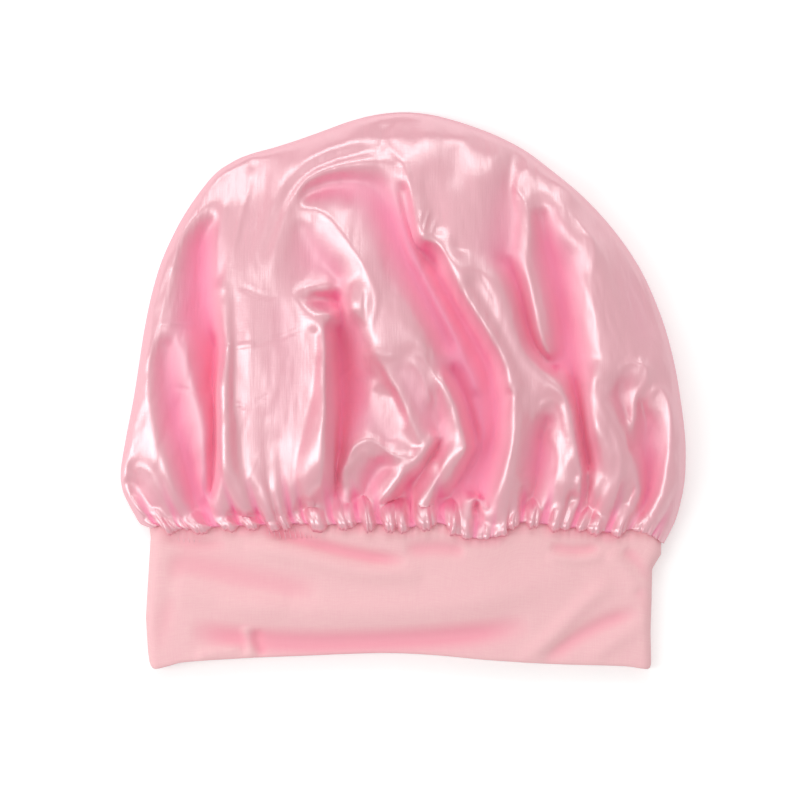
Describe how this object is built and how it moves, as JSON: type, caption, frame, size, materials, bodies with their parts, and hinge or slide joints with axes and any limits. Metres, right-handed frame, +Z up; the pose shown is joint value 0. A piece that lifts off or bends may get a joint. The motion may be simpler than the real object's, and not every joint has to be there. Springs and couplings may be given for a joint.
{
  "type": "hair net",
  "caption": "Sleep bonnet for covering hair: a round satin crown gathered into a wide doubled jersey band, lying flat on its back.",
  "frame": {"origin": "middle of the bonnet's outline as it lies, on the table that it lies on", "axes": "+X along the band, +Y from the band to the top of the crown, +Z up from the table, through the front that faces the viewer"},
  "size_m": [0.2928, 0.2872, 0.0348],
  "materials": {
    "satin": "glossy pink polyester satin",
    "jersey": "matte pink doubled jersey knit",
    "thread": "pale pink polyester sewing thread"
  },
  "bodies": {
    "root": {"crown": "satin", "band": "jersey", "gathering_thread": "thread", "overlock_thread": "thread"}
  },
  "joints": []
}
